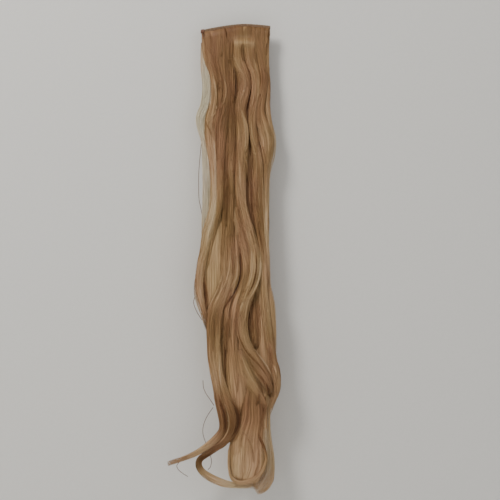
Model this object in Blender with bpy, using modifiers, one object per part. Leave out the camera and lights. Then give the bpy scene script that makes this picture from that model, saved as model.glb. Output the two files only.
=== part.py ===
"""A clip-in hair weft: a narrow sewn band, the waved hair that falls from it, the wound thread at
the band's left end and the snap clip behind it. Metres, +Z up, the hair's face towards -Y. The
origin is the middle of the clip's back, where the weft is held while its hair hangs."""

import math
from bisect import bisect_right
from collections import namedtuple

import bmesh
import bpy

# Sizes, in metres
BAND_WIDTH = 0.090
BAND_HEIGHT = 0.0040
BAND_THICKNESS = 0.0030
BAND_LEFT_DROP = 0.0084  # how far the band's left end hangs under its highest point
BAND_RIGHT_DROP = 0.0026
KNOT_WIDTH = 0.0045  # the wound thread that closes the band's left end
KNOT_THICKNESS = 0.0042
KNOT_RIDGE = 0.0005
CLIP_WIDTH = 0.031
CLIP_HEIGHT = 0.018
CLIP_THICKNESS = 0.0016
CLIP_CORNER = 0.0060
CLIP_EDGE = 0.0003
CLIP_OFFSET = 0.011  # from the band's middle to the clip's
CLIP_DROP = 0.0116  # from the band's highest point down to the clip's middle
HAIR_LENGTH = 0.603  # from the band's highest point down to the lowest curl
HAIR_DEPTH = 0.016  # the fall's thickness where it is fullest
HAIR_DRIFT = 0.018  # how far the hair's back comes forward on its way down
CLIP_BUMP = 0.0018  # how far the clip's lower edge pushes the hair forward
BUMP_SPREAD = 0.005  # how softly the bump fades up and down
ARCH_FADE = 0.045  # the length of hair over which the band's arch evens out
GAP = 0.0003

# Shapes, as plain numbers
ARCH_POWER = 1.5
KNOT_TURNS = 4
SECTIONS_A_TURN = 4
LOCK_STEP = 0.010  # spacing of the sections along a lock, a curl and the band
CURL_STEP = 0.006
BAND_STEP = 0.006
BACKING_SIDES = 16
BAND_SIDES = 8
OVAL = 1.0  # the power that shapes a section: lower is fuller, towards a box
FULL_OVAL = 0.7
ROUNDED_BOX = 0.6
LOCK_FLATNESS = 0.45  # most of the fall's thickness that one lock's half thickness takes

# The backing sheet of hair, down its length: all shares in percent. down is of the hair below the
# band, left and right are of the band's width from its middle, depth is of HAIR_DEPTH.
BackingRow = namedtuple("BackingRow", "down left right depth")
BACKING = [
    BackingRow(*row)
    for row in (
        (0, -50, 50, 20),
        (3, -48.5, 47, 22),
        (8, -46, 45, 28),
        (12, -42, 46, 38),
        (16, -43, 46, 45),
        (20, -48, 46, 50),
        (24, -44, 52, 55),
        (29, -46, 50, 60),
        (33, -49, 45, 62),
        (40, -45, 43, 65),
        (46, -44, 42, 68),
        (50, -47, 43, 70),
        (55, -51, 43, 72),
        (58.5, -51, 45, 72),
        (61, -44, 48, 72),
        (64, -39, 51, 72),
        (69.5, -36, 54, 72),
        (74, -31, 59, 70),
        (77, -28, 59, 68),
        (79.5, -27, 52, 66),
        (83, -24, 42, 62),
        (87, -16, 41, 58),
        (90.5, -5, 42, 52),
        (94, 5, 41, 42),
        (96.5, 14, 33, 25),
    )
]

# The locks, each down its own middle line: down and across as above, half is its half width in
# percent of BAND_WIDTH, and out is how far it stands before the middle of the hair, in percent of
# HAIR_DEPTH. roundness is a section's thickness over its width.
LockRow = namedtuple("LockRow", "down across half out")
Lock = namedtuple("Lock", "roundness sides step rows")
LOCKS = {
    "left_veil": Lock(0.4, 6, LOCK_STEP, (
        (0.8, -46, 4, 0), (7.5, -46, 4, 0), (13, -41.5, 5, 5), (16, -44, 5, 5),
        (19.8, -51.5, 5, 5), (23.5, -44, 6, 5), (28, -47, 6, 0), (36.5, -46.5, 6, 0),
        (44, -41, 4, 0),
    )),
    "left_light": Lock(0.6, 8, LOCK_STEP, (
        (0.8, -40, 6, 0), (4, -40, 6.5, 5), (10.5, -34, 6.5, 12), (13.6, -30.5, 6, 15),
        (16.5, -32.5, 6.5, 18), (19.8, -38, 7, 20), (24, -35, 7, 23), (32, -31.5, 7, 25),
        (37, -30.5, 7, 26), (40.5, -33, 7, 26), (45.5, -42, 7.5, 27), (52, -49.5, 7.5, 27),
        (57.5, -53.5, 5.5, 24), (60, -49, 4, 18), (62, -42, 3, 12),
    )),
    "left_brown": Lock(0.6, 8, LOCK_STEP, (
        (0.8, -25, 8, 0), (5, -25, 8, 6), (11, -18, 8, 14), (14.5, -14, 8, 18),
        (17.5, -16, 8, 21), (22, -19.5, 8, 25), (30, -22.5, 8, 28), (37, -23.5, 8, 30),
        (41, -26.5, 8, 30), (46, -33, 6, 26), (52, -31, 5, 20),
    )),
    "sweep": Lock(0.7, 8, LOCK_STEP, (
        (0.8, 2, 8, 0), (3.8, 2.5, 8, 8), (7.5, 4, 8, 14), (11.5, 12, 8, 20),
        (14, 11.5, 7.5, 22), (16.5, 6.5, 7, 25), (20, 10, 6.5, 28), (23, 12, 6.5, 30),
        (27, 9, 6.5, 33), (33, 7, 6.5, 36), (37.3, 8, 6.5, 38), (41, 14, 6, 38),
        (47, 29, 6, 38), (50, 34, 6, 38), (53, 33, 6, 37), (57, 23, 7, 38),
        (61.3, 8, 8, 39), (64, 6, 8, 40), (69, 18, 7, 39), (72, 34, 6, 38),
        (76, 51, 5.5, 36), (78.3, 54, 4, 33), (80.5, 50, 2, 27),
    )),
    "centre_right": Lock(0.7, 8, LOCK_STEP, (
        (0.8, 20, 7, 0), (4, 20, 7, 6), (7.5, 21.5, 7, 12), (11, 28.5, 7, 17),
        (14, 28, 7, 19), (18, 23, 6.5, 22), (21, 24.5, 6.5, 24), (25, 28.5, 6.5, 27),
        (32, 33.5, 6.5, 30), (40, 36.5, 6, 31), (46, 41, 6, 31), (52, 43, 6, 29),
        (59, 43.5, 6.5, 27), (66, 48, 6.5, 26), (70, 51, 6.5, 26), (73.5, 57, 6, 27),
        (76.3, 61, 5.5, 26), (79, 58, 5, 23), (82.5, 47.5, 5, 17), (86, 41, 4, 10),
    )),
    "right": Lock(0.7, 8, LOCK_STEP, (
        (0.8, 34, 6.5, 0), (4, 35, 6.5, 6), (8, 39, 6, 11), (11.5, 41, 5, 15),
        (16.5, 34, 6, 18), (20, 35, 6.5, 20), (23, 41.5, 7, 23), (26, 46.5, 7, 24),
        (30, 45, 5, 22), (36, 42.5, 3, 16),
    )),
    "right_edge": Lock(0.7, 6, LOCK_STEP, (
        (0.8, 45, 4, 0), (8, 45.5, 3.5, 2), (16, 46.5, 3.5, 2), (20.5, 49, 4, 4),
        (23.8, 52, 4, 4), (27, 50, 4, 4), (30, 46.5, 3.5, 2), (35, 45, 3.5, 2),
        (46, 43.5, 3.5, 2), (57, 44.5, 3.5, 0),
    )),
    "tip": Lock(0.7, 8, LOCK_STEP, (
        (38, -10, 6, 10), (44, -13, 7, 18), (50, -11, 8, 24), (54.5, -14.5, 10, 28),
        (58.5, -23, 12, 30), (62, -31, 12, 32), (66, -32, 11.5, 32), (70, -30, 11, 32),
        (73, -27.5, 10, 32), (76, -23, 10, 32), (79, -17, 12, 32), (82, -11.5, 14, 33),
        (84.5, -9, 14, 34), (86.5, -11.5, 13, 37), (88.3, -17, 10, 42), (89.7, -28, 7, 48),
        (91, -42, 5, 54), (92, -58, 4.3, 60), (93, -74, 3.7, 66), (93.5, -86, 3.3, 70),
        (93.8, -96, 3, 72),
    )),
    "centre_thin": Lock(0.7, 6, LOCK_STEP, (
        (43, -2, 4, 10), (49.5, 0.5, 5, 22), (53, 0, 5, 25), (57, -8, 5, 22), (60, -15, 4, 14),
    )),
    "centre_broad": Lock(0.7, 6, LOCK_STEP, (
        (45, 18, 6, 14), (49.5, 20, 7, 26), (53, 19, 7, 28), (57, 11, 7, 27), (60, 2, 6, 24),
        (64, -2, 5, 18),
    )),
    "middle_veil": Lock(0.5, 6, LOCK_STEP, (
        (62, 0, 6, 15), (68, 1, 10, 24), (75, 3, 9, 24), (79, 3.5, 6, 20), (82.5, 3.5, 1.5, 14),
    )),
    "lower_right": Lock(0.5, 8, LOCK_STEP, (
        (70, 26, 9, 5), (76, 30, 13, 18), (80, 28, 14, 25), (84, 25, 15, 28), (88, 22, 15, 30),
        (92, 20, 14, 28), (95, 16, 10, 22), (97.2, 10, 4, 15),
    )),
    "loop": Lock(0.9, 6, CURL_STEP, (
        (78.5, 44, 3, 25), (82.5, 41, 3, 33), (85.5, 37, 3.2, 38), (89, 38.5, 3.2, 42),
        (92, 44.5, 3.2, 46), (94, 43.5, 3.2, 48), (96.5, 33.5, 3.2, 50), (97.9, 21, 3, 52),
        (97.9, 8, 3, 52), (97, -2, 2.8, 48), (95, -8, 2.8, 42), (92.5, -8.5, 2.6, 34),
        (90.6, -4, 2.4, 24),
    )),
    "outer_curl": Lock(0.9, 6, CURL_STEP, (
        (82.5, 43, 4, 5), (87, 46.5, 3.5, 5), (91, 51.5, 3, 8), (94, 54.7, 3, 10),
        (96.7, 54, 3, 14), (98.3, 48.5, 3, 18), (99.2, 41, 2.5, 20), (99.4, 32, 1.5, 20),
    )),
    "ring": Lock(0.8, 6, CURL_STEP, (
        (87.5, -8, 4, 10), (90, -19, 4, 2), (91.5, -33, 4.2, -8), (92.3, -46, 4.3, -14),
        (93.8, -54.5, 4.3, -16), (95.6, -48, 4.5, -14), (97, -33.5, 5.5, -10),
        (98.1, -18, 5, -6), (98.8, -3, 4, -2), (99.2, 11, 3, 0), (99.4, 24, 1.5, 0),
    )),
}
# The back's locks follow these of the front, each moved across by so much and standing behind.
REAR_LOCKS = {"left_light": 4, "left_brown": 3, "sweep": -4, "centre_right": -5, "tip": 6}
REAR_ROWS = slice(2, 16)  # below the clip, and above the front's free tip
REAR_OUT = 0.7  # how far they stand out, beside the front's

# Materials: base colour, roughness, metallic
BROWN_HAIR = (0.20, 0.115, 0.062, 1)
BAND_BROWN = (0.13, 0.07, 0.035, 1)
THREAD_BROWN = (0.10, 0.035, 0.022, 1)
CLIP_BROWN = (0.09, 0.055, 0.035, 1)


def smooth_step(t):
    """0 before t = 0, 1 past t = 1, and a soft S between them."""
    t = min(max(t, 0), 1)
    return t * t * (3 - 2 * t)


def band_middle():
    return -CLIP_OFFSET


def arch_drop(x):
    """How far the band's top lies under its highest point, which is over the clip's middle."""
    if x < 0:
        return BAND_LEFT_DROP * (x / (band_middle() - BAND_WIDTH / 2)) ** ARCH_POWER
    return BAND_RIGHT_DROP * (x / (band_middle() + BAND_WIDTH / 2)) ** ARCH_POWER


def clip_bump(x, z):
    """How far the hair stands forward of its plain course over the clip's lower edge."""
    across = 1 - smooth_step((abs(x) - CLIP_WIDTH / 2 + BUMP_SPREAD) / (2 * BUMP_SPREAD))
    return CLIP_BUMP * across * math.exp(-(((z + CLIP_HEIGHT / 2) / BUMP_SPREAD) ** 2))


def place(x, down, forward):
    """The point x right of the clip's middle, down from the band's top line and forward of the
    clip's back, with the band's arch and the clip's bump worked in."""
    arch = arch_drop(x) * (1 - smooth_step((down - BAND_HEIGHT) / ARCH_FADE))
    z = CLIP_DROP - down - arch
    bump = clip_bump(x, z) if down > BAND_HEIGHT else 0
    return x, -forward - bump, z


def hair_down(share):
    """A share of the hair's fall, as a distance down from the band's top line."""
    start = BAND_HEIGHT + GAP
    return start + share / 100 * (HAIR_LENGTH - start)


def hair_across(share):
    return band_middle() + share / 100 * BAND_WIDTH


def hair_depth(share):
    """The hair's thickness at this share of its fall."""
    index = min(max(bisect_right([row.down for row in BACKING], share), 1), len(BACKING) - 1)
    above, below = BACKING[index - 1], BACKING[index]
    t = min(max((share - above.down) / (below.down - above.down), 0), 1)
    return (above.depth + t * (below.depth - above.depth)) / 100 * HAIR_DEPTH


def hair_middle(share):
    """How far the middle of the hair's thickness stands forward of the clip's back."""
    back = CLIP_THICKNESS + GAP + HAIR_DRIFT * smooth_step(share / 100)
    return back + hair_depth(share) / 2


def smooth_rows(rows, step):
    """The rows, and more between them every step metres or so, on one smooth curve."""
    kind = type(rows[0])
    padded = [rows[0], *rows, rows[-1]]
    smoothed = []
    for before, start, end, after in zip(padded, padded[1:], padded[2:], padded[3:]):
        fall = (end[0] - start[0]) / 100 * HAIR_LENGTH
        run = (end[1] - start[1]) / 100 * BAND_WIDTH
        count = max(round(math.hypot(fall, run) / step), 1)
        for index in range(count):
            t = index / count
            smoothed.append(kind(*(
                ((3 * q - p - 3 * r + s) * t**3 + (2 * p - 5 * q + 4 * r - s) * t**2
                 + (r - p) * t + 2 * q) / 2
                for p, q, r, s in zip(before, start, end, after)
            )))
    return [*smoothed, rows[-1]]


def section(x, down, forward, side, half_width, half_depth, sides, power=OVAL):
    """One closed section round a point of the hair's or the band's middle line."""
    points = []
    for index in range(sides):
        angle = 2 * math.pi * (index + 0.5) / sides
        wide = math.copysign(abs(math.cos(angle)) ** power, math.cos(angle)) * half_width
        deep = math.copysign(abs(math.sin(angle)) ** power, math.sin(angle)) * half_depth
        points.append(place(x + side[0] * wide, down + side[1] * wide, forward + deep))
    return points


def loft(name, sections, collection, material):
    """A closed body through the sections, with a flat cap at each end."""
    form = bmesh.new()
    rings = [[form.verts.new(point) for point in points] for points in sections]
    for ring, following in zip(rings, rings[1:]):
        for index in range(len(ring)):
            after = (index + 1) % len(ring)
            form.faces.new((ring[index], ring[after], following[after], following[index]))
    form.faces.new(rings[0][::-1])
    form.faces.new(rings[-1])
    bmesh.ops.recalc_face_normals(form, faces=form.faces)
    mesh = bpy.data.meshes.new(name)
    form.to_mesh(mesh)
    form.free()
    mesh.shade_smooth()
    return add_object(name, mesh, collection, material)


def add_object(name, mesh, collection, material):
    piece = bpy.data.objects.new(name, mesh)
    collection.objects.link(piece)
    piece.data.materials.append(material)
    return piece


def make_material(name, colour, roughness, metallic=0.0):
    material = bpy.data.materials.new(name)
    material.use_nodes = True
    shader = material.node_tree.nodes["Principled BSDF"]
    shader.inputs["Base Color"].default_value = colour
    shader.inputs["Roughness"].default_value = roughness
    shader.inputs["Metallic"].default_value = metallic
    return material


def lock_sections(lock, rows):
    """Sections square to the lock's middle line, each as wide as its row says."""
    path = smooth_rows([LockRow(*row) for row in rows], lock.step)
    centres = [(hair_across(row.across), hair_down(row.down)) for row in path]
    sections = []
    for index, row in enumerate(path):
        before = centres[max(index - 1, 0)]
        after = centres[min(index + 1, len(path) - 1)]
        run, fall = after[0] - before[0], after[1] - before[1]
        length = math.hypot(run, fall)
        half_width = row.half / 100 * BAND_WIDTH
        half_depth = min(half_width * lock.roundness, hair_depth(row.down) * LOCK_FLATNESS)
        forward = hair_middle(row.down) + row.out / 100 * HAIR_DEPTH
        side = (fall / length, -run / length)
        sections.append(section(*centres[index], forward, side, half_width, half_depth, lock.sides))
    return sections


def backing_sections():
    sections = []
    for row in smooth_rows(BACKING, LOCK_STEP):
        left, right = hair_across(row.left), hair_across(row.right)
        sections.append(section(
            (left + right) / 2, hair_down(row.down), hair_middle(row.down), (1, 0),
            (right - left) / 2, hair_depth(row.down) / 2, BACKING_SIDES, FULL_OVAL,
        ))
    return sections


def rear_rows(name, shift):
    """The front lock's rows turned to the back, rising out of the hair and sinking back in."""
    rows = [LockRow(*row) for row in LOCKS[name].rows[REAR_ROWS]]
    rows = [row._replace(across=row.across + shift, out=-row.out * REAR_OUT) for row in rows]
    for end in (0, -1):
        rows[end] = rows[end]._replace(half=rows[end].half / 2, out=0)
    return rows


def make_hair(part, helpers, material):
    """The fall: the backing sheet of hair, with the front's and the back's locks fused to it."""
    hair = loft("hair_fall", backing_sections(), part, material)
    for name, lock in LOCKS.items():
        loft(f"lock_{name}", lock_sections(lock, lock.rows), helpers, material)
    for name, shift in REAR_LOCKS.items():
        rows = rear_rows(name, shift)
        loft(f"rear_lock_{name}", lock_sections(LOCKS[name], rows), helpers, material)
    fuse = hair.modifiers.new("fuse_locks", "BOOLEAN")
    fuse.operation = "UNION"
    fuse.operand_type = "COLLECTION"
    fuse.collection = helpers
    return hair


def band_sections(start, end, step, thickness, dip=None):
    """Sections across a piece that runs along the band; dip says how far each is drawn in."""
    count = max(round((end - start) / step), 2)
    sections = []
    for index in range(count + 1):
        x = start + (end - start) * index / count
        drawn_in = dip(index / count) if dip else 0
        sections.append(section(
            x, BAND_HEIGHT / 2, hair_middle(0), (0, 1), BAND_HEIGHT / 2 - drawn_in,
            thickness / 2 - drawn_in, BAND_SIDES, ROUNDED_BOX,
        ))
    return sections


def make_band(part, material):
    start = hair_across(-50) + KNOT_WIDTH + GAP
    sections = band_sections(start, hair_across(50), BAND_STEP, BAND_THICKNESS)
    return loft("weft_band", sections, part, material)


def make_knot(part, material):
    """The thread wound round the band's open end: its turns show as ridges."""

    def groove(share):
        return KNOT_RIDGE * (1 + math.cos(2 * math.pi * KNOT_TURNS * share)) / 2

    start = hair_across(-50)
    step = KNOT_WIDTH / (SECTIONS_A_TURN * KNOT_TURNS)
    sections = band_sections(start, start + KNOT_WIDTH, step, KNOT_THICKNESS, groove)
    return loft("end_knot", sections, part, material)


def make_clip(part, material):
    """The closed snap clip, one plain plate with round corners, its flat back at the origin."""
    form = bmesh.new()
    bmesh.ops.create_cube(form, size=1)
    bmesh.ops.scale(form, vec=(CLIP_WIDTH, CLIP_THICKNESS, CLIP_HEIGHT), verts=form.verts)
    bmesh.ops.translate(form, vec=(0, -CLIP_THICKNESS / 2, 0), verts=form.verts)
    corners = [
        edge for edge in form.edges
        if abs(edge.verts[0].co.y - edge.verts[1].co.y) > CLIP_THICKNESS / 2
    ]
    bmesh.ops.bevel(
        form, geom=corners, offset=CLIP_CORNER, segments=6, profile=0.5, affect="EDGES",
    )
    mesh = bpy.data.meshes.new("snap_clip")
    form.to_mesh(mesh)
    form.free()
    clip = add_object("snap_clip", mesh, part, material)
    edge = clip.modifiers.new("edge", "BEVEL")
    edge.width = CLIP_EDGE
    edge.segments = 2
    edge.limit_method = "ANGLE"
    edge.angle_limit = math.radians(50)
    return clip


def main():
    for piece in list(bpy.data.objects):
        bpy.data.objects.remove(piece)
    part = bpy.data.collections.new("hair_weft")
    helpers = bpy.data.collections.new("locks")
    for collection in (part, helpers):
        bpy.context.scene.collection.children.link(collection)
    hair_material = make_material("brown_hair", BROWN_HAIR, 0.42)
    make_hair(part, helpers, hair_material)
    for lock in helpers.objects:
        lock.hide_render = True
        lock.display_type = "WIRE"
    make_band(part, make_material("band_brown", BAND_BROWN, 0.7))
    make_knot(part, make_material("thread_brown", THREAD_BROWN, 0.8))
    make_clip(part, make_material("clip_brown", CLIP_BROWN, 0.35, 0.6))


main()
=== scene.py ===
"""Looks for the hair weft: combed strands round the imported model's locks, the stitched band they
hang from, the wound thread at its end and the clip behind. Metres, +Z up, the hair's face
towards -Y, and the origin in the middle of the clip's back."""

import math
from collections import namedtuple

import bpy
import numpy as np
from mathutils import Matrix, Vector


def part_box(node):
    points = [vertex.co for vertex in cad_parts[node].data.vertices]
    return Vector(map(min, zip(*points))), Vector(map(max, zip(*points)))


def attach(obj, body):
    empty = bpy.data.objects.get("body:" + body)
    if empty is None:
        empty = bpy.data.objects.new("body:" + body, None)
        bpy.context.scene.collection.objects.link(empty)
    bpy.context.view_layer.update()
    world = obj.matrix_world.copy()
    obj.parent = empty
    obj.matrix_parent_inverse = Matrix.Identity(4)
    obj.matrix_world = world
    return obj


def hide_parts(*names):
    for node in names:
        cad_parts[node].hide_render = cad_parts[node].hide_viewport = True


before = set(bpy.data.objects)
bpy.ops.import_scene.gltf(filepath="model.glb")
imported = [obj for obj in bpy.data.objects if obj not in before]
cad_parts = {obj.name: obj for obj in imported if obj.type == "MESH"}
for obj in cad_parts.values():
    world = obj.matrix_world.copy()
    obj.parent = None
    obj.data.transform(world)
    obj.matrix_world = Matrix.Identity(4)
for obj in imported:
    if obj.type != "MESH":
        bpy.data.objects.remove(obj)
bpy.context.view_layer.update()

# The photograph's frame
PIXEL = 0.001284  # metres across one pixel at the hair
CLIP_X, CLIP_Y = 244, 31.7  # the pixel over the clip's middle
IMAGE_MIDDLE = 250
LENS = 135
SENSOR = 36

# Sizes of the real thing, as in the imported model
CLIP_LOW, CLIP_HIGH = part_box("snap_clip")
BAND_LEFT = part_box("end_knot")[0].x
BAND_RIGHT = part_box("weft_band")[1].x
KNOT_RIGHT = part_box("end_knot")[1].x
BAND_WIDTH = BAND_RIGHT - BAND_LEFT
BAND_MIDDLE = (BAND_LEFT + BAND_RIGHT) / 2
BAND_HEIGHT = 0.0040
BAND_THICKNESS = 0.0030
BAND_LEFT_DROP = 0.0084
BAND_RIGHT_DROP = 0.0026
BAND_TOP = 0.0116
CLIP_THICKNESS = CLIP_HIGH.y - CLIP_LOW.y
HAIR_LENGTH = 0.603
HAIR_DEPTH = 0.016
HAIR_DRIFT = 0.018
CLIP_BUMP = 0.0044
BUMP_DROP = 0.0045  # how far under the clip's edge the hair stands out most
BUMP_SPREAD = 0.0052
ARCH_FADE = 0.045
ARCH_POWER = 1.5
ARCH_ROUNDS = 4  # tries that settle how far down a pixel of the photograph lies
GAP = 0.0003
LOCK_FLATNESS = 0.45  # the most of the hair's thickness that half a lock's takes
BACKING_FLATNESS = 0.32  # the same for the backing
REAR_TONE = 35
STRAY_TONE = -0.10  # a share, where the tables have percent

# Strands
STRAND_WIDTH = 0.00042
VEIL_WIDTH = 0.00036
STRAY_WIDTH = 0.00095  # a few hairs that cling together
STRAND_SIDES = 3
CORE_SIDES = 18
CORE_SHARE = 0.95  # a lock's closed core, as a share of the lock
# Painted shade: how much darker a lock's core is than its strands, as the shade under them
CORE_SHADE = -0.03
# Painted shade: a lock is toned darker at its edges, where it meets its neighbours
EDGE_SHADE = -0.07  # how much darker a lock is at its edges
ROW_STEP = 0.003  # spacing of the points on a lock's own middle line
POINT_STEP = 0.011  # spacing of a strand's points where it runs straight
BEND_STEP = 0.055  # extra length that one radian of bend counts as
BUMP_POINTS = 7.0  # how much closer a strand's points lie over the clip's edge
FRONT_STRANDS = 0.72  # the share of a lock's strands on its front
WISP_STRANDS = 9
WISP_WANDER = 0.0008
STRAND_WANDER = 0.0004
WISP_TONES = 0.05
STRAND_TONES = 0.05
RAGGED = 0.10  # how much shorter than its lock the shortest strand is, as a share
TIP_RAGGED = 0.015
GATHER = 0.18  # the share of its way to its wisp's middle that a strand keeps to
GOLDEN_ANGLE = math.radians(137.508)
ROOT = -0.4  # the share of the fall where strands start, inside the band
SEED = 7
WAVE_PACES = (0.8, 1.25)  # how far a wave's length may stray from the lengths given for it
GATHER_WAVES = (0.21, 0.34)
WISP_WAVES = (0.09, 0.16)
STRAND_WAVES = (0.05, 0.12)
DEPTH_WAVES = (0.07, 0.13)
FREE_LENGTH = 0.05  # how far down strands start to wander, and to gather
GATHER_LENGTH = 0.08
SKIN_SPREAD = (0.90, 1.04)  # where a lock's strands lie, as shares of the lock
SHEET_SPREAD = (0.2, 0.8)  # where each strand of a sheet lies in its own part of the width
EDGE_POWER = 1.5
TAPER = 0.7  # how much thinner a strand ends, over these shares of its length
ROOT_TAPER, TIP_TAPER = 0.08, 0.12
CORE_THIN = 0.06  # how thin a core ends, over these shares of its length
CORE_START, CORE_END = 0.12, 0.05
FEWEST_STEPS = 4

# Hair colours, from dark to light at the same shades, and how the tones lie on them. The
# near-black first colours are painted shade, for the deepest gaps between locks.
SHADES = (0.0, 0.25, 0.51, 0.74, 0.92, 1.0)
RED_HAIR = (
    (0.070, 0.024, 0.010), (0.196, 0.082, 0.034), (0.380, 0.204, 0.102), (0.590, 0.378, 0.214),
    (0.760, 0.580, 0.400), (0.900, 0.780, 0.600),
)
OLIVE_HAIR = (
    (0.058, 0.026, 0.008), (0.172, 0.086, 0.028), (0.352, 0.212, 0.088), (0.565, 0.388, 0.196),
    (0.750, 0.600, 0.380), (0.890, 0.800, 0.580),
)
TONE_START, TONE_RANGE = 0.29, 0.67
STREAKS, PATCHES = 0.18, 0.10  # how much a strand's tone varies along it and from place to place

# Stage
WALL_Y = 0.016
WALL_HALF, WALL_TOP = 2, 1.5
FLOOR_Z = -0.72
FLOOR_HALF = 4
SKY_STRENGTH = 0.42
VIEW_END = 20

# The backing sheet of hair: down is a share of the fall, left and right are shares of the band's
# width from its middle, depth is a share of HAIR_DEPTH, all in percent. tone is as for the locks;
# the backing's dark tones are painted shade, seen in the gaps between the locks.
BACKING = (
    (ROOT, -50, 50, 20, 25), (3, -48, 47, 22, 25), (8, -40, 45, 28, 20), (12, -34, 46, 38, 15),
    (16, -32, 46, 45, 15), (20, -40, 46, 50, 15), (24, -39, 51, 55, 20), (29, -34, 49, 60, 20),
    (33, -31, 45, 62, 15), (40, -28, 43, 65, 15), (46, -20, 42, 68, 35), (50, -18, 43, 70, 40),
    (55, -19, 43, 72, 40), (58.5, -26, 45, 72, 35), (61, -38, 48, 72, 30), (64, -37, 50, 72, 30),
    (69.5, -33, 53, 72, 40), (74, -27, 56, 70, 45), (77, -24, 56, 68, 45), (79.5, -20, 50, 66, 45),
    (83, -10, 41, 62, 50), (87, -3, 38, 58, 60), (90.5, 0, 37, 52, 75), (94, 6, 36, 42, 80),
    (96.5, 14, 30, 25, 80),
)
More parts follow.
